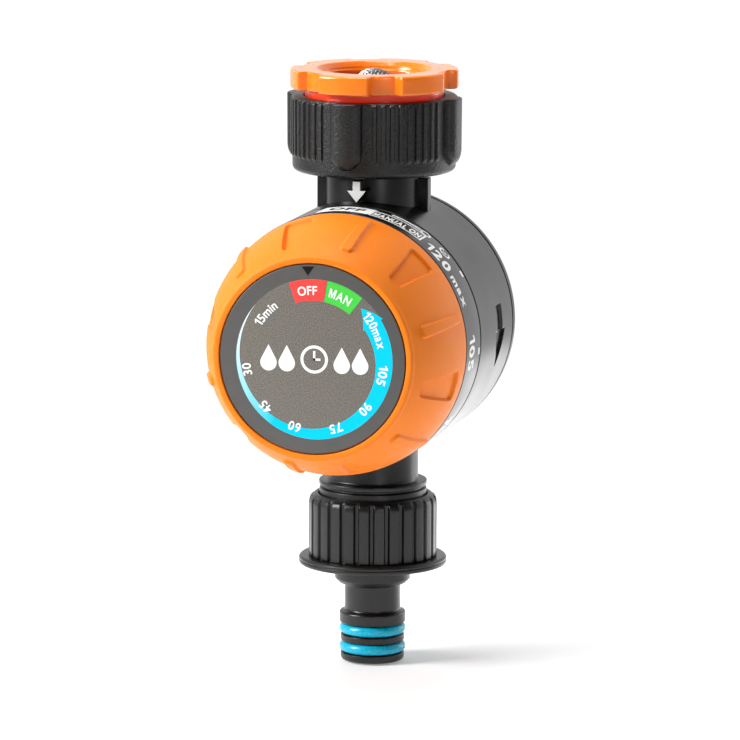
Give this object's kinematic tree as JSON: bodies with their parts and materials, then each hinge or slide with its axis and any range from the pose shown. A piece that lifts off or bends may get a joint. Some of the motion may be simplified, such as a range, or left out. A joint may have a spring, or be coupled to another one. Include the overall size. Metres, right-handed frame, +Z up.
{
  "type": "drip irrigation timer",
  "caption": "Clockwork tap timer for drip irrigation: a drum housing with a wind-up dial, a swivel tap inlet on top and a click-on hose spigot below.",
  "frame": {"origin": "centre of the tap inlet's top face, on the pipe axis", "axes": "+Z up along the pipe axis; -Y towards the dial's face; +X to the right as seen from the dial"},
  "size_m": [0.062, 0.0768, 0.1437],
  "materials": {
    "black_abs": "satin moulded ABS",
    "orange_rubber": "matt soft-touch overmould",
    "orange_plastic": "glossy, slightly translucent",
    "label_print": "printed polycarbonate sheet",
    "blue_rubber": "smooth moulded O-ring",
    "black_rubber": "matt sealing rubber",
    "white_acetal": "natural acetal",
    "stainless": "bright stainless steel",
    "brass": "lacquered brass"
  },
  "bodies": {
    "housing": {"main_housing": "black_abs", "back_cover": "black_abs", "cover_seal": "black_rubber", "cover_screw_1": "stainless", "cover_screw_2": "stainless", "cover_screw_3": "stainless", "cover_screw_4": "stainless", "retaining_ring": "stainless", "inlet_washer": "black_rubber", "stem_seal": "black_rubber", "stem_gland": "brass", "rear_frame_plate": "brass", "front_frame_plate": "brass", "frame_pillar_1": "brass", "frame_pillar_2": "brass", "frame_pillar_3": "brass", "frame_screw_1": "stainless", "frame_screw_2": "stainless", "frame_screw_3": "stainless", "mainspring": "stainless", "spring_post": "stainless"},
    "inlet_nut": {"inlet_nut": "black_abs"},
    "tap_adaptor": {"tap_adaptor": "orange_plastic", "filter_washer": "black_rubber", "filter_screen": "stainless"},
    "outlet_connector": {"outlet_connector": "black_abs", "spigot_ring_upper": "blue_rubber", "spigot_ring_lower": "blue_rubber", "outlet_washer": "black_rubber"},
    "dial": {"dial_core": "black_abs", "knob_grip": "orange_rubber", "dial_label": "label_print", "knob_screw": "stainless", "dial_arbor": "brass", "valve_cam": "white_acetal", "main_wheel": "brass"},
    "second_wheel": {"second_wheel": "brass"},
    "third_wheel": {"third_wheel": "brass"},
    "escape_wheel": {"escape_wheel": "brass"},
    "balance": {"balance": "stainless"},
    "valve": {"valve_stem": "stainless", "valve_seal": "black_rubber", "valve_spring": "stainless"}
  },
  "joints": [
    {"name": "nut_turn", "type": "hinge", "parent": "housing", "child": "inlet_nut", "pos_m": [0, 0, -0.0154], "axis": [0, 0, 1], "continuous": true},
    {"name": "adaptor_unscrew", "type": "hinge", "parent": "inlet_nut", "child": "tap_adaptor", "pos_m": [0, 0, -0.006], "axis": [0, 0, 1], "range_deg": [0, 1440]},
    {"name": "connector_unscrew", "type": "hinge", "parent": "housing", "child": "outlet_connector", "pos_m": [0, 0, -0.11], "axis": [0, 0, 1], "range_deg": [-1440, 0]},
    {"name": "dial_turn", "type": "hinge", "parent": "housing", "child": "dial", "pos_m": [0, -0.035, -0.0617], "axis": [0, 1, 0], "range_deg": [-30, 301], "deforming": ["mainspring"]},
    {"name": "second_wheel_turn", "type": "hinge", "parent": "housing", "child": "second_wheel", "pos_m": [0.0084, -0.025, -0.07625], "axis": [0, 1, 0], "range_deg": [-1284.25, 132.5]},
    {"name": "third_wheel_turn", "type": "hinge", "parent": "housing", "child": "third_wheel", "pos_m": [0.0147, -0.025, -0.06983], "axis": [0, 1, 0], "range_deg": [-451.25, 4482.38]},
    {"name": "escape_wheel_turn", "type": "hinge", "parent": "housing", "child": "escape_wheel", "pos_m": [0.01679, -0.025, -0.06107], "axis": [0, 1, 0], "range_deg": [-15675.81, 1566.88]},
    {"name": "balance_rock", "type": "hinge", "parent": "housing", "child": "balance", "pos_m": [0.0132, -0.025, -0.05131], "axis": [0, 1, 0], "range_deg": [-12, 12]},
    {"name": "valve_lift", "type": "slide", "parent": "housing", "child": "valve", "axis": [0, 1, 0], "range_m": [0, 0.0025], "stiffness_N_per_m": 400, "springref_m": -0.003, "deforming": ["valve_spring"]}
  ],
  "couplings": [
    {"joint": "second_wheel_turn", "follows": "dial_turn", "ratio": -4.25},
    {"joint": "third_wheel_turn", "follows": "dial_turn", "ratio": 14.875},
    {"joint": "escape_wheel_turn", "follows": "dial_turn", "ratio": -52.062}
  ]
}
